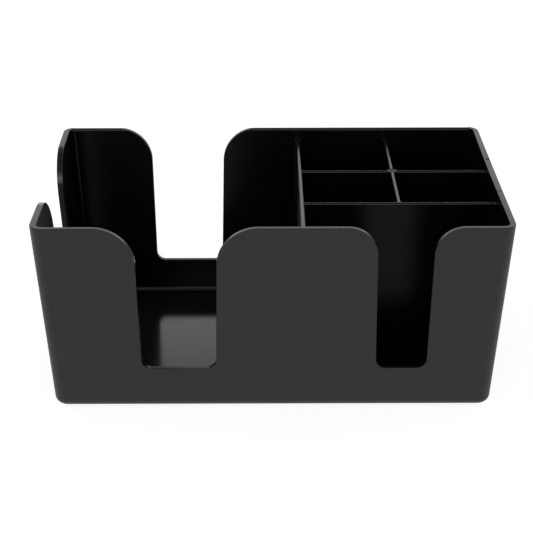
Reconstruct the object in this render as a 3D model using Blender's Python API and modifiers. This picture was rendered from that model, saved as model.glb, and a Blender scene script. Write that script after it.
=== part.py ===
"""Black plastic bar caddy: a napkin bay, a straw bay and four condiment cells in one open tray.

Metres, +Z up, +X to the right and +Y to the back as seen from the front.
The origin is on the counter, under the middle of the tray.
"""

import math
from collections import namedtuple

import bmesh
import bpy
from mathutils import Matrix

# Tray, measured over the rim, without its feet
RIM_LENGTH = 0.2413
RIM_DEPTH = 0.1460
TRAY_HEIGHT = 0.1064
WALL = 0.0029
FLOOR = 0.0029
END_DRAFT = math.radians(3.06)
FRONT_DRAFT = math.radians(3.86)
CORNER_RADIUS = 0.0065
BASE_FILLET = 0.0050
FLOOR_FILLET = 0.0028
RIM_ROUND = 0.0007

# Underside, sunk behind a standing edge that follows the walls
UNDER_RECESS = 0.0020
STANDING_EDGE = 0.0024
RECESS_CORNER = 0.0040

# Cut-outs, where a hand reaches the napkins and the straws
SILL_HEIGHT = 0.0245
SILL_CORNER = 0.0050
NAPKIN_FLARE = 0.0200
END_FLARE = 0.0220
STRAW_FLARE = 0.0150
FRONT_SLOT_WIDTH = 0.0387
BACK_SLOT_WIDTH = 0.0400
END_SLOT_WIDTH = 0.0418
STRAW_SLOT_WIDTH = 0.0260
FRONT_SLOT_SHIFT = 0.0027
BACK_SLOT_SHIFT = 0.0023
STRAW_SLOT_SHIFT = -0.0003
FRONT_SLOT_TAPERS = (math.radians(0.6), math.radians(1.1))
BACK_SLOT_TAPERS = (math.radians(1.3), math.radians(1.0))
END_SLOT_TAPERS = (math.radians(0.5), math.radians(0.5))
STRAW_SLOT_TAPERS = (math.radians(1.1), math.radians(0.6))

# Dividers, with bay sizes taken clear between their faces at the dividers' top edge
DIVIDER = 0.0022
DIVIDER_DROP = 0.0068
NAPKIN_BAY = 0.1320
STRAW_BAY = 0.0434
FRONT_CELL = 0.0431
POST_DIAMETER = 0.0056

# Stick-on rubber feet, inside the sunk underside
FOOT_DIAMETER = 0.0100
FOOT_HEIGHT = 0.0032
FOOT_INSET = 0.0145
FOOT_EDGE = 0.0004

# Gap between pieces that touch, and how far a cutter runs past what it cuts
GAP = 0.0003
PASS = 0.0100

# How finely the round stretches are faceted
CORNER_STEPS = 8
HOLLOW_STEPS = 6
SILL_STEPS = 8
SHOULDER_STEPS = 18
EDGE_STEPS = 2
POST_SIDES = 24
FOOT_SIDES = 32

# Edges that turn by more than this are softened along the rim and the cut-outs
SOFT_EDGE_ANGLE = math.radians(50)

# Heights above the counter
BASE_Z = FOOT_HEIGHT + GAP - UNDER_RECESS
RIM_Z = BASE_Z + TRAY_HEIGHT
FLOOR_Z = BASE_Z + UNDER_RECESS + FLOOR
SILL_Z = BASE_Z + SILL_HEIGHT
DIVIDER_Z = RIM_Z - DIVIDER_DROP

Slot = namedtuple("Slot", "quarter_turns centre width tapers flare")


def inner_half_length(z):
    """Half the clear length between the end walls at height z."""
    return RIM_LENGTH / 2 - WALL - (RIM_Z - z) * math.tan(END_DRAFT)


def inner_half_depth(z):
    """Half the clear depth between the front and back walls at height z."""
    return RIM_DEPTH / 2 - WALL - (RIM_Z - z) * math.tan(FRONT_DRAFT)


def base_half(inset):
    """Half the length and half the depth of the tray's base corner to corner, less an inset all round."""
    return (RIM_LENGTH / 2 - TRAY_HEIGHT * math.tan(END_DRAFT) - inset,
            RIM_DEPTH / 2 - TRAY_HEIGHT * math.tan(FRONT_DRAFT) - inset)


PARTITION_X = -inner_half_length(DIVIDER_Z) + NAPKIN_BAY + DIVIDER / 2
STRAW_DIVIDER_Y = -inner_half_depth(DIVIDER_Z) + STRAW_BAY + DIVIDER / 2
REAR_DIVIDER_Y = STRAW_DIVIDER_Y + FRONT_CELL + DIVIDER
CROSS_X = (PARTITION_X + DIVIDER / 2 + inner_half_length(DIVIDER_Z)) / 2
NAPKIN_BAY_X = PARTITION_X - (DIVIDER + NAPKIN_BAY) / 2


def collection(name):
    made = bpy.data.collections.new(name)
    bpy.context.scene.collection.children.link(made)
    return made


def plastic(name, colour, roughness):
    made = bpy.data.materials.new(name)
    made.use_nodes = True
    shader = made.node_tree.nodes["Principled BSDF"]
    shader.inputs["Base Color"].default_value = (*colour, 1.0)
    shader.inputs["Roughness"].default_value = roughness
    shader.inputs["Metallic"].default_value = 0.0
    return made


def add_object(name, bm, home, material=None):
    bmesh.ops.recalc_face_normals(bm, faces=bm.faces)
    mesh = bpy.data.meshes.new(name)
    bm.to_mesh(mesh)
    bm.free()
    made = bpy.data.objects.new(name, mesh)
    home.objects.link(made)
    if material:
        mesh.materials.append(material)
    return made


def cutter(name, bm):
    made = add_object(name, bm, cutters)
    made.hide_render = True
    made.display_type = "WIRE"
    return made


def boolean(target, tool, operation):
    modifier = target.modifiers.new(tool.name, "BOOLEAN")
    modifier.operation = operation
    modifier.solver = "EXACT"
    modifier.object = tool


def drafted_block(rim_x, rim_y, bottom, top, corner, fillet, segments):
    """A block whose walls lean out upwards from its base, with round corners and a round base edge."""
    lean_x = (RIM_Z - bottom) * math.tan(END_DRAFT)
    lean_y = (RIM_Z - bottom) * math.tan(FRONT_DRAFT)
    above = top - RIM_Z
    bm = bmesh.new()
    bmesh.ops.create_cube(bm, size=2.0)
    for vert in bm.verts:
        grow_x = above * math.tan(END_DRAFT) if vert.co.z > 0 else -lean_x
        grow_y = above * math.tan(FRONT_DRAFT) if vert.co.z > 0 else -lean_y
        vert.co.x *= rim_x + grow_x
        vert.co.y *= rim_y + grow_y
        vert.co.z = top if vert.co.z > 0 else bottom
    uprights = [e for e in bm.edges if abs(e.verts[0].co.z - e.verts[1].co.z) > (top - bottom) / 2]
    bmesh.ops.bevel(bm, geom=uprights, offset=corner, segments=segments, profile=0.5,
                    affect="EDGES", clamp_overlap=False, material=-1)
    base = [e for e in bm.edges if all(abs(v.co.z - bottom) < 1e-6 for v in e.verts)]
    bmesh.ops.bevel(bm, geom=base, offset=min(fillet, corner - GAP), segments=segments, profile=0.5,
                    affect="EDGES", clamp_overlap=False, material=-1)
    return bm


def arc(centre, radius, start, end, steps):
    angles = [start + (end - start) * i / steps for i in range(steps + 1)]
    return [(centre[0] + radius * math.cos(a), centre[1] + radius * math.sin(a)) for a in angles]


def slot_side(width, taper, flare):
    """One side of a cut-out, from its sill up to past the rim, as (across, up) points."""
    lean = math.tan(taper)
    sill = arc((width / 2 - SILL_CORNER, SILL_Z + SILL_CORNER), SILL_CORNER,
               -math.pi / 2, 0, SILL_STEPS)
    top = width / 2 + lean * (RIM_Z - flare - SILL_Z)
    shoulder = arc((top + flare, RIM_Z - flare), flare, math.pi, math.pi / 2, SHOULDER_STEPS)
    return sill + shoulder + [(top + flare, RIM_Z + PASS)]


def slot_cutter(name, slot):
    """A prism of the cut-out's outline, made at the front and turned about Z to the wall it goes through."""
    distance = (RIM_LENGTH if slot.quarter_turns % 2 else RIM_DEPTH) / 2 - WALL
    turn = Matrix.Rotation(slot.quarter_turns * math.pi / 2, 3, "Z")
    left, right = (slot_side(slot.width, taper, slot.flare) for taper in slot.tapers)
    outline = [(-across, up) for across, up in reversed(left)] + right
    bm = bmesh.new()
    face = bm.faces.new([bm.verts.new((slot.centre + across, -PASS, up)) for across, up in outline])
    pushed = bmesh.ops.extrude_face_region(bm, geom=[face])["geom"]
    moved = [g for g in pushed if isinstance(g, bmesh.types.BMVert)]
    bmesh.ops.translate(bm, verts=moved, vec=(0, 2 * PASS, 0))
    bmesh.ops.translate(bm, verts=bm.verts, vec=(0, -distance, 0))
    bmesh.ops.rotate(bm, verts=bm.verts, matrix=turn)
    return cutter(name, bm)


def plate(name, low, high, material):
    """A flat divider between two corners, run past the walls and trimmed to the tray's inside."""
    bm = bmesh.new()
    bmesh.ops.create_cube(bm, size=1.0)
    size = [b - a for a, b in zip(low, high)]
    middle = [(a + b) / 2 for a, b in zip(low, high)]
    bmesh.ops.scale(bm, vec=size, verts=bm.verts)
    bmesh.ops.translate(bm, vec=middle, verts=bm.verts)
    made = add_object(name, bm, caddy, material)
    boolean(made, inside, "INTERSECT")
    return made


def soften(target, width, segments):
    modifier = target.modifiers.new("edge_round", "BEVEL")
    modifier.width = width
    modifier.segments = segments
    modifier.limit_method = "ANGLE"
    modifier.angle_limit = SOFT_EDGE_ANGLE
    modifier.use_clamp_overlap = False


def recess_cutter():
    """The shallow sink of the underside: a straight-sided block with round corners, below the floor."""
    half_x, half_y = base_half(STANDING_EDGE + BASE_FILLET)
    top = BASE_Z + UNDER_RECESS
    bm = bmesh.new()
    bmesh.ops.create_cube(bm, size=2.0)
    bmesh.ops.scale(bm, vec=(half_x, half_y, PASS / 2), verts=bm.verts)
    bmesh.ops.translate(bm, vec=(0, 0, top - PASS / 2), verts=bm.verts)
    uprights = [e for e in bm.edges if abs(e.verts[0].co.z - e.verts[1].co.z) > PASS / 2]
    bmesh.ops.bevel(bm, geom=uprights, offset=RECESS_CORNER, segments=HOLLOW_STEPS, profile=0.5,
                    affect="EDGES", material=-1)
    return cutter("recess_cutter", bm)


def build_shell():
    """The tray: floor and four leaning walls, with a cut-out in three of them and one for the straws."""
    bm = drafted_block(RIM_LENGTH / 2, RIM_DEPTH / 2, BASE_Z, RIM_Z, CORNER_RADIUS, BASE_FILLET, CORNER_STEPS)
    shell = add_object("caddy_shell", bm, caddy, plastic("shell_black", (0.030, 0.030, 0.032), 0.45))
    hollow = drafted_block(RIM_LENGTH / 2 - WALL, RIM_DEPTH / 2 - WALL, FLOOR_Z, RIM_Z + PASS,
                           max(CORNER_RADIUS - WALL, 2 * GAP), FLOOR_FILLET, HOLLOW_STEPS)
    boolean(shell, cutter("hollow_cutter", hollow), "DIFFERENCE")
    boolean(shell, recess_cutter(), "DIFFERENCE")
    slots = {
        "front_napkin_slot": Slot(0, NAPKIN_BAY_X + FRONT_SLOT_SHIFT, FRONT_SLOT_WIDTH,
                                  FRONT_SLOT_TAPERS, NAPKIN_FLARE),
        "front_straw_slot": Slot(0, CROSS_X + STRAW_SLOT_SHIFT, STRAW_SLOT_WIDTH,
                                 STRAW_SLOT_TAPERS, STRAW_FLARE),
        "back_napkin_slot": Slot(2, -(NAPKIN_BAY_X + BACK_SLOT_SHIFT), BACK_SLOT_WIDTH,
                                 BACK_SLOT_TAPERS, NAPKIN_FLARE),
        "left_napkin_slot": Slot(3, 0.0, END_SLOT_WIDTH, END_SLOT_TAPERS, END_FLARE),
    }
    for name, slot in slots.items():
        boolean(shell, slot_cutter(name, slot), "DIFFERENCE")
    soften(shell, RIM_ROUND, EDGE_STEPS)


def build_dividers():
    """Thin upright plates that split the tray. Their ends and feet keep a hair's gap to what they meet."""
    colour, roughness = (0.010, 0.010, 0.011), 0.2
    half = DIVIDER / 2
    past = RIM_LENGTH
    cells_x = PARTITION_X + half + GAP
    post_reach = POST_DIAMETER / 2 + GAP
    plates = {
        "napkin_partition": ((PARTITION_X - half, -past), (PARTITION_X + half, past)),
        "straw_divider": ((cells_x, STRAW_DIVIDER_Y - half), (past, STRAW_DIVIDER_Y + half)),
        "rear_divider": ((cells_x, REAR_DIVIDER_Y - half), (past, REAR_DIVIDER_Y + half)),
        "cross_divider_front": ((CROSS_X - half, STRAW_DIVIDER_Y + half + GAP),
                                (CROSS_X + half, REAR_DIVIDER_Y - post_reach)),
        "cross_divider_rear": ((CROSS_X - half, REAR_DIVIDER_Y + post_reach), (CROSS_X + half, past)),
    }
    for name, (low, high) in plates.items():
        plate(name, (*low, FLOOR_Z), (*high, DIVIDER_Z), plastic(name + "_black", colour, roughness))
    boolean(bpy.data.objects["rear_divider"], build_post(), "UNION")


def build_post():
    """The round post where the dividers cross, which the rear divider carries."""
    bm = bmesh.new()
    low, high = FLOOR_Z + GAP, DIVIDER_Z
    bmesh.ops.create_cone(bm, cap_ends=True, segments=POST_SIDES, depth=high - low,
                          radius1=POST_DIAMETER / 2, radius2=POST_DIAMETER / 2)
    bmesh.ops.translate(bm, verts=bm.verts, vec=(CROSS_X, REAR_DIVIDER_Y, (low + high) / 2))
    return cutter("crossing_post", bm)


def build_feet():
    """Four stick-on rubber feet in the sunk underside, near its corners, with a softened lower edge."""
    reach_x, reach_y = base_half(FOOT_INSET)
    rubber = plastic("foot_rubber", (0.018, 0.018, 0.018), 0.85)
    for row, y in (("front", -reach_y), ("rear", reach_y)):
        for side, x in (("left", -reach_x), ("right", reach_x)):
            bm = bmesh.new()
            bmesh.ops.create_cone(bm, cap_ends=True, segments=FOOT_SIDES, depth=FOOT_HEIGHT,
                                  radius1=FOOT_DIAMETER / 2, radius2=FOOT_DIAMETER / 2)
            lower = [e for e in bm.edges if all(v.co.z < 0 for v in e.verts)]
            bmesh.ops.bevel(bm, geom=lower, offset=FOOT_EDGE, segments=EDGE_STEPS, profile=0.5,
                            affect="EDGES", material=-1)
            foot = add_object("foot_" + row + "_" + side, bm, caddy, rubber)
            foot.location = (x, y, FOOT_HEIGHT / 2)


for old in list(bpy.data.objects):
    bpy.data.objects.remove(old)
caddy = collection("bar_caddy")
cutters = collection("cutters")
inside = cutter("inside_clear", drafted_block(
    RIM_LENGTH / 2 - WALL - GAP, RIM_DEPTH / 2 - WALL - GAP, FLOOR_Z + GAP, RIM_Z,
    max(CORNER_RADIUS - WALL, 2 * GAP), FLOOR_FILLET, HOLLOW_STEPS))
build_shell()
build_dividers()
build_feet()
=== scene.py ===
import math

import bmesh
import bpy
from mathutils import Matrix, Vector


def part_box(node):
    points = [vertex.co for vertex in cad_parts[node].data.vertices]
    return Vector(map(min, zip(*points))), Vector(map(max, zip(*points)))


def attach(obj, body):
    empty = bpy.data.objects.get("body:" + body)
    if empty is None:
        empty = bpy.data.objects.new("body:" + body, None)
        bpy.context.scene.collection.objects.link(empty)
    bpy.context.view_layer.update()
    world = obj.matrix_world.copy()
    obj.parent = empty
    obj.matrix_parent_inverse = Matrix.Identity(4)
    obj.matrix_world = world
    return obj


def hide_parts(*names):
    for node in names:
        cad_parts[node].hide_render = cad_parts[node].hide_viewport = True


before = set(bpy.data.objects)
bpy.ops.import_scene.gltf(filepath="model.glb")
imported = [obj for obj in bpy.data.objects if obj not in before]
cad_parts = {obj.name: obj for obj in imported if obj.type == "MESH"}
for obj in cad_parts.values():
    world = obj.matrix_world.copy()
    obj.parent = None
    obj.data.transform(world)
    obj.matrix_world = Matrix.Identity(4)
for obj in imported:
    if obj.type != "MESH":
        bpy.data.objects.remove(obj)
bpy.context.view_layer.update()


# The tray is one injection moulding in black ABS: a floor and four walls that lean out, so that it
# leaves its mould. The blocks below are its outer form and the room inside it, and the second is
# cut out of the first. The left end wall is the thickest. Both end walls draw in a little between
# their corners, the left one on both faces and the right one mostly on its inner face.
WALL = 0.0029
FLOOR = 0.0029
UNDER_RECESS = 0.0020
STANDING_EDGE = 0.0024
RECESS_CORNER = 0.0040
END_DRAFT = math.tan(math.radians(3.06))
FRONT_DRAFT = math.tan(math.radians(3.86))
CORNER_RADIUS = 0.0065
BASE_FILLET = 0.0050
FLOOR_FILLET = 0.0028
ROUND_STEPS = 12
LEFT_THICKENING = 0.0004
LEFT_BOW = 0.0005
RIGHT_OUTER_BOW = 0.0001
RIGHT_INNER_BOW = 0.0005
BOW_POWER = 1.5
STRIPS = 14
NEAR = 1e-6
VERY_NEAR = 1e-7

tray_low, tray_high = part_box("caddy_shell")
rim_z, base_z = tray_high.z, tray_low.z
floor_z = base_z + UNDER_RECESS + FLOOR


def drawn_in(point, right_bow=RIGHT_INNER_BOW):
    """Where a point of an end wall lies once the wall has bowed in between its corners."""
    along = max(0.0, 1.0 - (point.y / tray_high.y) ** 2) ** BOW_POWER
    up = max(0.0, (point.z - base_z) / (rim_z - base_z))
    near = min(1.0, max(0.0, 2.0 * abs(point.x) / tray_high.x - 1.0))
    bow = right_bow if point.x > 0 else -LEFT_BOW
    return point - Vector((bow * along * up * near, 0.0, 0.0))


def upright_edges(bm, height):
    """The edges that climb over half of a block's height."""
    return [e for e in bm.edges if abs(e.verts[0].co.z - e.verts[1].co.z) > height / 2]


def leaning_block(inset, bottom, top, corner, fillet, right_bow, left_extra=0.0):
    """A block with leaning walls, round corners and a round base edge, set in from the tray."""
    bm = bmesh.new()
    bmesh.ops.create_cube(bm, size=2.0)
    for vert in bm.verts:
        z = top if vert.co.z > 0 else bottom
        reach = tray_high.x - inset - (rim_z - z) * END_DRAFT
        vert.co.x = reach if vert.co.x > 0 else left_extra - reach
        vert.co.y *= tray_high.y - inset - (rim_z - z) * FRONT_DRAFT
        vert.co.z = z
    bmesh.ops.bevel(bm, geom=upright_edges(bm, top - bottom), offset=corner, segments=ROUND_STEPS,
                    profile=0.5, affect="EDGES", clamp_overlap=False, material=-1)
    base = [e for e in bm.edges if all(abs(v.co.z - bottom) < NEAR for v in e.verts)]
    bmesh.ops.bevel(bm, geom=base, offset=fillet, segments=ROUND_STEPS, profile=0.5,
                    affect="EDGES", clamp_overlap=False, material=-1)
    for i in range(1, STRIPS):
        y = tray_high.y * (2.0 * i / STRIPS - 1.0)
        bmesh.ops.bisect_plane(bm, geom=bm.verts[:] + bm.edges[:] + bm.faces[:], dist=VERY_NEAR,
                               plane_co=(0, y, 0), plane_no=(0, 1, 0))
    for vert in bm.verts:
        vert.co = drawn_in(vert.co, right_bow)
    bmesh.ops.recalc_face_normals(bm, faces=bm.faces)
    return bm


def piece(name, bm, *materials):
    mesh = bpy.data.meshes.new(name)
    bm.to_mesh(mesh)
    bm.free()
    for material in materials:
        mesh.materials.append(material)
    made = bpy.data.objects.new(name, mesh)
    bpy.context.scene.collection.objects.link(made)
    return made


def push_out(bm, vector):
    """Makes a solid of a flat outline by pushing it along a vector."""
    pushed = bmesh.ops.extrude_face_region(bm, geom=bm.faces[:])["geom"]
    far = [g for g in pushed if isinstance(g, bmesh.types.BMVert)]
    bmesh.ops.translate(bm, verts=far, vec=vector)


def ball(radius, place):
    bm = bmesh.new()
    bmesh.ops.create_uvsphere(bm, u_segments=24, v_segments=16, radius=radius,
                              matrix=Matrix.Translation(place))
    return bm


# Black ABS shows almost no colour of its own: what is seen is the room mirrored in it, so each
# finish is a set of three things, how rough it is, how its fine relief runs, and how even it is.
REFRACTION = 1.5
FINE_DETAIL = 3.0
FINE_ROUGHNESS = 0.6
CLOUD_SCALE = 28.0
CLOUD_DETAIL = 2.0
EVEN_SHARE = 0.5
NOISE_LOW, NOISE_HIGH = 0.35, 0.65
DARKER, PALER = 0.75, 1.25


def black_plastic(name, colour, roughness, spread, grain, relief, depth,
                  stretch=(1, 1, 1), gloss=0.5):
    """Roughness wanders by its spread. Grain is the relief's size, stretch makes it streaks."""
    made = bpy.data.materials.new(name)
    made.use_nodes = True
    tree = made.node_tree
    shader = tree.nodes["Principled BSDF"]
    shader.inputs["Specular IOR Level"].default_value = gloss
    shader.inputs["IOR"].default_value = REFRACTION
    place = tree.nodes.new("ShaderNodeTexCoord").outputs["Object"]

    drawn = tree.nodes.new("ShaderNodeMapping")
    drawn.inputs["Scale"].default_value = [1.0 / s for s in stretch]
    tree.links.new(place, drawn.inputs["Vector"])

    fine = tree.nodes.new("ShaderNodeTexNoise")
    fine.inputs["Scale"].default_value = 1.0 / grain
    fine.inputs["Detail"].default_value = FINE_DETAIL
    fine.inputs["Roughness"].default_value = FINE_ROUGHNESS
    tree.links.new(drawn.outputs["Vector"], fine.inputs["Vector"])

    cloud = tree.nodes.new("ShaderNodeTexNoise")
    cloud.inputs["Scale"].default_value = CLOUD_SCALE
    cloud.inputs["Detail"].default_value = CLOUD_DETAIL
    tree.links.new(place, cloud.inputs["Vector"])

    mixed = tree.nodes.new("ShaderNodeMath")
    mixed.operation = "MULTIPLY_ADD"
    mixed.inputs[1].default_value = EVEN_SHARE
    tree.links.new(fine.outputs["Fac"], mixed.inputs[0])
    halved = tree.nodes.new("ShaderNodeMath")
    halved.operation = "MULTIPLY"
    halved.inputs[1].default_value = EVEN_SHARE
    tree.links.new(cloud.outputs["Fac"], halved.inputs[0])
    tree.links.new(halved.outputs[0], mixed.inputs[2])

    uneven = tree.nodes.new("ShaderNodeMapRange")
    uneven.inputs["From Min"].default_value = NOISE_LOW
    uneven.inputs["From Max"].default_value = NOISE_HIGH
    uneven.inputs["To Min"].default_value = roughness - spread
    uneven.inputs["To Max"].default_value = roughness + spread
    tree.links.new(mixed.outputs[0], uneven.inputs["Value"])
    tree.links.new(uneven.outputs["Result"], shader.inputs["Roughness"])

    tint = tree.nodes.new("ShaderNodeValToRGB")
    tint.color_ramp.elements[0].position = NOISE_LOW
    tint.color_ramp.elements[1].position = NOISE_HIGH
    tint.color_ramp.elements[0].color = (*[c * DARKER for c in colour], 1.0)
    tint.color_ramp.elements[1].color = (*[c * PALER for c in colour], 1.0)
    tree.links.new(mixed.outputs[0], tint.inputs["Fac"])
    tree.links.new(tint.outputs["Color"], shader.inputs["Base Color"])

    bump = tree.nodes.new("ShaderNodeBump")
    bump.inputs["Strength"].default_value = relief
    bump.inputs["Distance"].default_value = depth
    tree.links.new(fine.outputs["Fac"], bump.inputs["Height"])
    tree.links.new(bump.outputs["Normal"], shader.inputs["Normal"])
    return made


ABS = (0.0022, 0.0022, 0.0025)
# The faces inside the bays, the sides of the cut-outs and the divider faces get a darker copy of
# the same ABS colour. This is painted shade for the dark inside of the tray. Their polish is real
# and is set by their low roughness.
ABS_PAINTED_SHADE_INSIDE = (0.0008, 0.0008, 0.0010)
spark_grain = black_plastic("tray_spark_grain", ABS, roughness=0.50, spread=0.05,
                            grain=0.0005, relief=0.35, depth=0.00004, gloss=0.40)
polished_wall = black_plastic("tray_polished_wall_painted_shade", ABS_PAINTED_SHADE_INSIDE, roughness=0.24, spread=0.03,
                              grain=0.0020, relief=0.10, depth=0.00001, gloss=0.16)
polished_floor = black_plastic("tray_polished_floor_painted_shade", ABS_PAINTED_SHADE_INSIDE, roughness=0.13, spread=0.02,
                               grain=0.0020, relief=0.10, depth=0.00001)
rim_along_x = black_plastic("rim_streaks_long", ABS, roughness=0.34, spread=0.06,
                            grain=0.0004, relief=0.40, depth=0.00003, stretch=(30, 1, 1))
rim_along_y = black_plastic("rim_streaks_end", ABS, roughness=0.28, spread=0.08,
                            grain=0.0005, relief=0.80, depth=0.00004, stretch=(1, 16, 1))
underside_grain = black_plastic("tray_underside", ABS, roughness=0.55, spread=0.05,
                                grain=0.0008, relief=0.30, depth=0.00004)


# Cut-outs let a hand reach the napkins and the straws. Each has a level sill with small round
# corners, sides that part slightly upwards, and wide round shoulders where they meet the rim.
SILL_HEIGHT = 0.0245
SILL_CORNER = 0.0050
SHOULDER_STEPS = 28
CUT_PAST = 0.0100
RIM_CLEAR = 0.00002

sill_z = base_z + SILL_HEIGHT


def cut_out(name, turns, centre, width, tapers, flare, material):
    """A tee-shaped cutter, made for the front wall and turned about Z by quarter turns."""
    shoulder_z = rim_z + RIM_CLEAR
    rise = shoulder_z - sill_z
    left, right = (width / 2 + rise * math.tan(math.radians(taper)) for taper in tapers)
    outline = [(-width / 2, sill_z), (width / 2, sill_z), (right, shoulder_z),
               (right + 2 * flare, shoulder_z), (right + 2 * flare, rim_z + CUT_PAST),
               (-left - 2 * flare, rim_z + CUT_PAST),
               (-left - 2 * flare, shoulder_z), (-left, shoulder_z)]
    bm = bmesh.new()
    corners = [bm.verts.new((x, -CUT_PAST, z)) for x, z in outline]
    bm.faces.new(corners)
    for radius, ends in ((SILL_CORNER, corners[0:2]), (flare, [corners[2], corners[7]])):
        bmesh.ops.bevel(bm, geom=ends, offset=radius, segments=SHOULDER_STEPS, profile=0.5,
                        affect="VERTICES", clamp_overlap=False, material=-1)
    push_out(bm, (0, 2 * CUT_PAST, 0))
    reach = (tray_high.x if turns % 2 else tray_high.y) - WALL
    bmesh.ops.translate(bm, verts=bm.verts, vec=(centre, -reach, 0))
    bmesh.ops.rotate(bm, verts=bm.verts, matrix=Matrix.Rotation(turns * math.pi / 2, 3, "Z"))
    bmesh.ops.recalc_face_normals(bm, faces=bm.faces)
    return piece(name, bm, material)


partition_low, partition_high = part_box("napkin_partition")
napkin_bay_x = (partition_low.x - (tray_high.x - WALL)) / 2
straw_bay_x = (partition_high.x + tray_high.x - WALL) / 2
cutters = [
    cut_out("front_napkin_cut", turns=0, centre=napkin_bay_x + 0.0029, width=0.0387,
            tapers=(0.6, 1.1), flare=0.021, material=rim_along_x),
    cut_out("front_straw_cut", turns=0, centre=straw_bay_x - 0.0005, width=0.0260,
            tapers=(1.1, 0.6), flare=0.015, material=rim_along_x),
    cut_out("back_napkin_cut", turns=2, centre=-napkin_bay_x - 0.0026, width=0.0393,
            tapers=(1.3, 1.0), flare=0.019, material=rim_along_x),
    cut_out("end_napkin_cut", turns=3, centre=0.0, width=0.0418,
            tapers=(0.5, 0.5), flare=0.022, material=rim_along_y),
]


# Underneath, the floor is sunk behind a standing edge, with the faint round marks of four ejector
# pins in it.
PIN_DIAMETER = 0.0080
PIN_DEPTH = 0.0002
PIN_PLACE_X = 0.55
PIN_PLACE_Y = 0.5

bm = bmesh.new()
bmesh.ops.create_cube(bm, size=2.0)
inset = STANDING_EDGE + BASE_FILLET
sunk_x = tray_high.x - (rim_z - base_z) * END_DRAFT - inset
sunk_y = tray_high.y - (rim_z - base_z) * FRONT_DRAFT - inset
bmesh.ops.scale(bm, vec=(sunk_x, sunk_y, CUT_PAST / 2), verts=bm.verts)
bmesh.ops.translate(bm, vec=(0, 0, base_z + UNDER_RECESS - CUT_PAST / 2), verts=bm.verts)
bmesh.ops.bevel(bm, geom=upright_edges(bm, CUT_PAST), offset=RECESS_CORNER, segments=ROUND_STEPS,
                profile=0.5, affect="EDGES", material=-1)
cutters.append(piece("recess_cut", bm, underside_grain))

bm = bmesh.new()
for side_x in (-1, 1):
    for side_y in (-1, 1):
        spot = Matrix.Translation((side_x * sunk_x * PIN_PLACE_X, side_y * sunk_y * PIN_PLACE_Y,
                                   base_z + UNDER_RECESS))
        bmesh.ops.create_cone(bm, cap_ends=True, segments=48, radius1=PIN_DIAMETER / 2,
                              radius2=PIN_DIAMETER / 2, depth=2 * PIN_DEPTH, matrix=spot)
cutters.append(piece("pin_cut", bm, underside_grain))


# Where two of the dividers meet the right-hand wall, the rim above them has sink marks: a small
# round dimple over the rear one, and a fine line right across the rim over the straw one.
DIMPLE_RADIUS = 0.0013
DIMPLE_LIFT = 0.60
DIMPLE_OUTWARD = 0.0004
LINE_RADIUS = 0.00045
LINE_LIFT = 0.2

rear_low, rear_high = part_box("rear_divider")
straw_low, straw_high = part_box("straw_divider")
rear_y = (rear_low.y + rear_high.y) / 2
straw_y = (straw_low.y + straw_high.y) / 2
rim_x = tray_high.x - WALL / 2 - RIGHT_INNER_BOW / 2

bm = ball(DIMPLE_RADIUS, (rim_x + DIMPLE_OUTWARD, rear_y, rim_z + DIMPLE_RADIUS * DIMPLE_LIFT))
cutters.append(piece("dimple_cut", bm, rim_along_y))

bm = bmesh.new()
bmesh.ops.create_cone(bm, cap_ends=True, segments=16, radius1=LINE_RADIUS, radius2=LINE_RADIUS,
                      depth=3 * WALL,
                      matrix=Matrix.Translation((rim_x, straw_y, rim_z + LINE_RADIUS * LINE_LIFT))
                      @ Matrix.Rotation(math.pi / 2, 4, "Y"))
cutters.append(piece("line_cut", bm, rim_along_y))


# The back wall's rim is nearly a full round between the corners. The others keep their flat tops.
# The cutter below is what lies outside that round.
BACK_ROUND = 0.0014
BACK_STEPS = 16
BACK_OVERLAP = 0.0015

round_y = tray_high.y - WALL / 2
round_z = rim_z - BACK_ROUND
outline = [(round_y + BACK_ROUND * math.cos(math.pi * i / BACK_STEPS),
            round_z + BACK_ROUND * math.sin(math.pi * i / BACK_STEPS))
           for i in range(BACK_STEPS + 1)]
outline += [(round_y - WALL, round_z), (round_y - WALL, rim_z + WALL),
            (round_y + WALL, rim_z + WALL), (round_y + WALL, round_z)]
reach_x = tray_high.x - CORNER_RADIUS + BACK_OVERLAP
bm = bmesh.new()
bm.faces.new([bm.verts.new((-reach_x, y, z)) for y, z in outline])
push_out(bm, (2 * reach_x, 0, 0))
bmesh.ops.recalc_face_normals(bm, faces=bm.faces)
cutters.append(piece("back_round_cut", bm, rim_along_x))


# The tray is put together here: outer form, less the bays, the cut-outs and the sunk underside. Its
# rim and the edges of the cut-outs are then broken with a small radius. The sink marks go in last.
EDGE_RADIUS = 0.0004
EDGE_STEPS = 4
EDGE_ANGLE = math.radians(50)
SMOOTH_ANGLE = math.radians(32)
FACES_UP = 0.9
FACES_DOWN = -0.98
HOLLOW_FLOOR = -0.5
STEEP = 0.35

outer = leaning_block(0.0, base_z, rim_z, CORNER_RADIUS, BASE_FILLET, RIGHT_OUTER_BOW)
for face in outer.faces:
    if face.normal.z > FACES_UP:
        across = abs(face.calc_center_median().x) > tray_high.x - 2 * WALL
        face.material_index = 2 if across else 1
    elif face.normal.z < FACES_DOWN:
        face.material_index = 3
tray = piece("bar_caddy_tray", outer, spark_grain, rim_along_x, rim_along_y, underside_grain)

hollow = leaning_block(WALL, floor_z, rim_z + CUT_PAST, CORNER_RADIUS - WALL, FLOOR_FILLET,
                       RIGHT_INNER_BOW, LEFT_THICKENING)
# The walls and floor of the bays take the inside materials, whose darker colour is painted shade.
for face in hollow.faces:
    face.material_index = 1 if face.normal.z < HOLLOW_FLOOR else 0
cutters.insert(0, piece("bays_cut", hollow, polished_wall, polished_floor))


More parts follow.
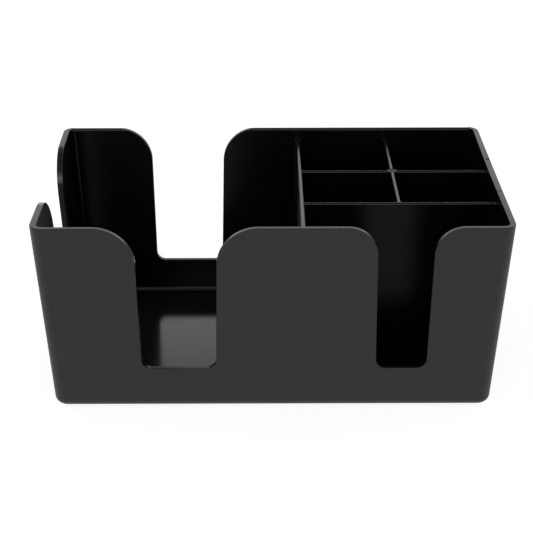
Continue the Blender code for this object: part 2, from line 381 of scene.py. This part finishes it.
def cut_away(target, tools, operation="DIFFERENCE"):
    for tool in tools:
        cut = target.modifiers.new(tool.name, "BOOLEAN")
        cut.operation = operation
        cut.solver = "EXACT"
        cut.material_mode = "TRANSFER"
        cut.object = tool


def round_edges(target, radius, steps):
    edge = target.modifiers.new("edge_round", "BEVEL")
    edge.width = radius
    edge.segments = steps
    edge.limit_method = "ANGLE"
    edge.angle_limit = EDGE_ANGLE
    edge.use_clamp_overlap = False


def settle(target, tools):
    """Makes the modifiers' result the piece's own mesh, removes the tools, smooths its rounds."""
    graph = bpy.context.evaluated_depsgraph_get()
    made = bpy.data.meshes.new_from_object(target.evaluated_get(graph))
    target.modifiers.clear()
    target.data = made
    for tool in tools:
        bpy.data.objects.remove(tool)
    made.shade_smooth()
    made.set_sharp_from_angle(angle=SMOOTH_ANGLE)
    even = target.modifiers.new("even_normals", "WEIGHTED_NORMAL")
    even.keep_sharp = True


marks = cutters[-3:]
cut_away(tray, [c for c in cutters if c not in marks])
round_edges(tray, EDGE_RADIUS, EDGE_STEPS)
cut_away(tray, marks)
settle(tray, cutters)
wall_slot = [m.name for m in tray.data.materials].index(polished_wall.name)
# The steep faces of the rim and cut-outs move to the inside wall material and take its darker
# colour, which is painted shade.
for face in tray.data.polygons:
    made_of = tray.data.materials[face.material_index]
    if made_of in (rim_along_x, rim_along_y) and abs(face.normal.z) < STEEP:
        face.material_index = wall_slot
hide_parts("caddy_shell")
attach(tray, "root")


# The dividers are thin ribs of the same black ABS, polished on their faces. Their top edges are
# nearly a full round, with fine lines running along them. Each thickens slightly downwards, and
# flares into what it meets with a small fillet.
RIB_DRAFT = math.tan(math.radians(0.15))
RIB_SINK = 0.0004
TOP_ROUND = 0.98
TOP_STEPS = 6
JOIN_FILLET = 0.0007
JOIN_RINGS = 5
RING_POWER = 1.6
RIB_CREST = 0.2
DIVIDER_RAISE = 0.0003
PLATE_THICKNESS = 0.0021
STRAW_THICKNESS = 0.0020
CROSS_THICKNESS = 0.0018

divider_z = partition_high.z + DIVIDER_RAISE
# The divider faces take the darker inside copy of the ABS colour, which is painted shade. Their
# tops keep the plain ABS colour.
rib_face = black_plastic("divider_polished_face_painted_shade", ABS_PAINTED_SHADE_INSIDE, roughness=0.28, spread=0.04,
                         grain=0.0020, relief=0.10, depth=0.00001, gloss=0.10)
ribs_along_x = black_plastic("divider_top_long", ABS, roughness=0.24, spread=0.05,
                             grain=0.0006, relief=0.12, depth=0.00001, stretch=(30, 1, 1))
ribs_along_y = black_plastic("divider_top_cross", ABS, roughness=0.30, spread=0.06,
                             grain=0.0004, relief=0.30, depth=0.00002, stretch=(1, 30, 1))


def rib(name, along, centre, thickness, ends):
    """A divider along X (0) or Y (1). An end is where it meets a face at the top, and its lean."""
    across = 1 - along
    bm = bmesh.new()
    bmesh.ops.create_cube(bm, size=2.0)
    for vert in bm.verts:
        z = divider_z if vert.co.z > 0 else floor_z - RIB_SINK
        drop = divider_z - z
        side = -1 if vert.co[along] < 0 else 1
        place, lean = ends[0] if side < 0 else ends[1]
        vert.co[along] = place - side * drop * lean + side * RIB_SINK
        vert.co[across] = centre + vert.co[across] * (thickness / 2 + drop * RIB_DRAFT)
        vert.co.z = z
    crests = [e for e in bm.edges if all(abs(v.co.z - divider_z) < VERY_NEAR for v in e.verts)
              and abs(e.verts[0].co[across] - e.verts[1].co[across]) < VERY_NEAR]
    bmesh.ops.bevel(bm, geom=crests, offset=TOP_ROUND * thickness / 2, segments=TOP_STEPS,
                    profile=0.5, affect="EDGES", clamp_overlap=False, material=-1)
    for side, (place, lean) in zip((-1, 1), ends):
        foot = Vector((0, 0, divider_z))
        foot[along] = place
        away = Vector((0, 0, 0))
        away[along] = side
        away.z = -lean
        away.normalize()
        for ring in range(JOIN_RINGS + 1):
            reach = JOIN_FILLET * (ring / JOIN_RINGS) ** RING_POWER
            bmesh.ops.bisect_plane(bm, geom=bm.verts[:] + bm.edges[:] + bm.faces[:], dist=VERY_NEAR,
                                   plane_co=foot - away * reach, plane_no=away)
        for vert in bm.verts:
            reach = max(0.0, (foot - vert.co).dot(away))
            if reach < JOIN_FILLET:
                swell = JOIN_FILLET - math.sqrt(JOIN_FILLET ** 2 - (JOIN_FILLET - reach) ** 2)
                half = thickness / 2 + (divider_z - vert.co.z) * RIB_DRAFT
                vert.co[across] = centre + (vert.co[across] - centre) * (half + swell) / half
    bmesh.ops.recalc_face_normals(bm, faces=bm.faces)
    for face in bm.faces:
        face.material_index = 1 if face.normal.z > RIB_CREST else 0
    return piece(name, bm, rib_face, ribs_along_y if along else ribs_along_x)


def finish_rib(made, node):
    settle(made, [])
    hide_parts(node)
    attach(made, "root")


inner_x = tray_high.x - WALL - (rim_z - divider_z) * END_DRAFT
inner_y = tray_high.y - WALL - (rim_z - divider_z) * FRONT_DRAFT
walls_front_back = ((-inner_y, FRONT_DRAFT), (inner_y, FRONT_DRAFT))
partition_x = (partition_low.x + partition_high.x) / 2
partition = rib("partition_rib", 1, partition_x, PLATE_THICKNESS, walls_front_back)
finish_rib(partition, "napkin_partition")

cells_left = (partition_high.x, 0.0)


def right_wall(y):
    """Where the bowed end wall's inner face is at the dividers' top, and how far it leans there."""
    top = drawn_in(Vector((inner_x, y, divider_z))).x
    foot = drawn_in(Vector((inner_x - (divider_z - floor_z) * END_DRAFT, y, floor_z))).x
    return top, (top - foot) / (divider_z - floor_z)


straw_rib = rib("straw_rib", 0, straw_y, STRAW_THICKNESS, (cells_left, right_wall(straw_y)))
finish_rib(straw_rib, "straw_divider")


# The rear rib carries a round post at the crossing, with a small dished mark towards the back of
# the post's top.
POST_DIAMETER = 0.0056
POST_TOP_ROUND = 0.0003
POST_SEGMENTS = 40
PIN_MARK_RADIUS = 0.0014
PIN_MARK_BACK = 0.0022
CROSS_SHIFT = 0.0004

cross_low, cross_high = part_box("cross_divider_front")
cross_x = (cross_low.x + cross_high.x) / 2 - CROSS_SHIFT
rear_rib = rib("rear_rib", 0, rear_y, PLATE_THICKNESS, (cells_left, right_wall(rear_y)))
bm = bmesh.new()
post_height = divider_z - floor_z + RIB_SINK
bmesh.ops.create_cone(bm, cap_ends=True, segments=POST_SEGMENTS, depth=post_height,
                      radius1=POST_DIAMETER / 2, radius2=POST_DIAMETER / 2,
                      matrix=Matrix.Translation((cross_x, rear_y, divider_z - post_height / 2)))
lip = [e for e in bm.edges if all(abs(v.co.z - divider_z) < NEAR for v in e.verts)]
bmesh.ops.bevel(bm, geom=lip, offset=POST_TOP_ROUND, segments=3, profile=0.5,
                affect="EDGES", material=-1)
post = piece("post_form", bm, rib_face)
bm = ball(PIN_MARK_RADIUS, (cross_x, rear_y + PIN_MARK_BACK, divider_z))
pin_mark = piece("pin_mark_form", bm, rib_face)
cut_away(rear_rib, [post], "UNION")
cut_away(rear_rib, [pin_mark])
settle(rear_rib, [post, pin_mark])
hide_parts("rear_divider")
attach(rear_rib, "root")

into_post = POST_DIAMETER / 2 - JOIN_FILLET / 2
front_ends = ((straw_high.y, 0.0), (rear_y - into_post, 0.0))
rear_ends = ((rear_y + into_post, 0.0), (inner_y, FRONT_DRAFT))
cross_front = rib("cross_rib_front", 1, cross_x, CROSS_THICKNESS, front_ends)
finish_rib(cross_front, "cross_divider_front")
cross_rear = rib("cross_rib_rear", 1, cross_x, CROSS_THICKNESS, rear_ends)
finish_rib(cross_rear, "cross_divider_rear")


# Four round bumpers of black rubber keep the tray from sliding. They have a softened edge at the
# foot and a slightly dished sole, and are stuck in the corners of the sunk underside.
FOOT_ROUND = 0.0006
SOLE_DISH = 0.0002
DISH_INNER, DISH_OUTER = 0.5, 0.62
FOOT_TAPER = 0.97
FOOT_SPIN_STEPS = 64

RUBBER = (0.018, 0.018, 0.018)
rubber = black_plastic("foot_rubber_black", RUBBER, roughness=0.80, spread=0.08,
                       grain=0.0004, relief=0.45, depth=0.00005)
for corner in ("front_left", "front_right", "rear_left", "rear_right"):
    low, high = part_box("foot_" + corner)
    middle = (low + high) / 2
    radius = (high.x - low.x) / 2
    bm = bmesh.new()
    profile = [(0.0, low.z + SOLE_DISH), (radius * DISH_INNER, low.z + SOLE_DISH),
               (radius * DISH_OUTER, low.z), (radius, low.z), (radius * FOOT_TAPER, high.z),
               (0.0, high.z)]
    points = [bm.verts.new((x, 0, z)) for x, z in profile]
    for pair in zip(points, points[1:]):
        bm.edges.new(pair)
    bmesh.ops.bevel(bm, geom=[points[3]], offset=FOOT_ROUND, segments=5, profile=0.5,
                    affect="VERTICES", material=-1)
    bmesh.ops.spin(bm, geom=bm.verts[:] + bm.edges[:], cent=(0, 0, 0), axis=(0, 0, 1),
                   angle=2 * math.pi, steps=FOOT_SPIN_STEPS, use_merge=True)
    bmesh.ops.remove_doubles(bm, verts=bm.verts, dist=NEAR)
    bmesh.ops.recalc_face_normals(bm, faces=bm.faces)
    bmesh.ops.translate(bm, verts=bm.verts, vec=(middle.x, middle.y, 0))
    foot = piece("bumper_" + corner, bm, rubber)
    settle(foot, [])
    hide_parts("foot_" + corner)
    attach(foot, "root")


# A pale matt sweep for the caddy to stand on.
SWEEP_GREY = 0.35
SWEEP_GLOW = 0.86
SWEEP_HALF = 6.0

sweep_paint = bpy.data.materials.new("sweep_paint")
sweep_paint.use_nodes = True
shader = sweep_paint.node_tree.nodes["Principled BSDF"]
shader.inputs["Base Color"].default_value = (SWEEP_GREY, SWEEP_GREY, SWEEP_GREY, 1.0)
shader.inputs["Roughness"].default_value = 0.9
shader.inputs["Specular IOR Level"].default_value = 0.0
shader.inputs["Emission Color"].default_value = (1.0, 1.0, 1.0, 1.0)
shader.inputs["Emission Strength"].default_value = SWEEP_GLOW
bm = bmesh.new()
bmesh.ops.create_grid(bm, x_segments=1, y_segments=1, size=SWEEP_HALF)
piece("sweep", bm, sweep_paint)

# Studio light: a white surround near the horizon that dims towards the ceiling.
HORIZON_LIGHT = 1.35
CEILING_LIGHT = 0.25
FADE_FROM = 25.5
FADE_TO = 35.5

surround = bpy.data.worlds.new("studio_surround")
bpy.context.scene.world = surround
surround.use_nodes = True
tree = surround.node_tree
direction = tree.nodes.new("ShaderNodeTexCoord").outputs["Generated"]
split = tree.nodes.new("ShaderNodeSeparateXYZ")
tree.links.new(direction, split.inputs["Vector"])
fade = tree.nodes.new("ShaderNodeMapRange")
fade.interpolation_type = "SMOOTHSTEP"
fade.inputs["From Min"].default_value = math.sin(math.radians(FADE_FROM))
fade.inputs["From Max"].default_value = math.sin(math.radians(FADE_TO))
fade.inputs["To Min"].default_value = HORIZON_LIGHT
fade.inputs["To Max"].default_value = CEILING_LIGHT
tree.links.new(split.outputs["Z"], fade.inputs["Value"])
tree.nodes["Background"].inputs["Color"].default_value = (1.0, 1.0, 1.0, 1.0)
tree.links.new(fade.outputs["Result"], tree.nodes["Background"].inputs["Strength"])


def softbox(name, place, aim, width, height, radiance):
    """An evenly bright rectangle facing a point."""
    light = bpy.data.lights.new(name, "AREA")
    light.shape = "RECTANGLE"
    light.size, light.size_y = width, height
    light.energy = radiance * math.pi * width * height
    lamp = bpy.data.objects.new(name, light)
    bpy.context.scene.collection.objects.link(lamp)
    lamp.location = place
    lamp.rotation_euler = (Vector(place) - Vector(aim)).to_track_quat("Z", "Y").to_euler()


softbox("front_softbox", place=(-0.42, -1.25, 0.96), aim=(0.0, 0.0, 0.1),
        width=0.62, height=0.30, radiance=3.5)

camera_data = bpy.data.cameras.new("camera")
camera_data.sensor_width = 36.0
camera_data.lens = 93.44
camera = bpy.data.objects.new("camera", camera_data)
bpy.context.scene.collection.objects.link(camera)
camera.location = (-0.00493, -0.69274, 0.38544)
camera.rotation_euler = (math.radians(64.318), math.radians(0.070), math.radians(-0.201))
bpy.context.scene.camera = camera
bpy.context.scene.view_settings.view_transform = "Standard"
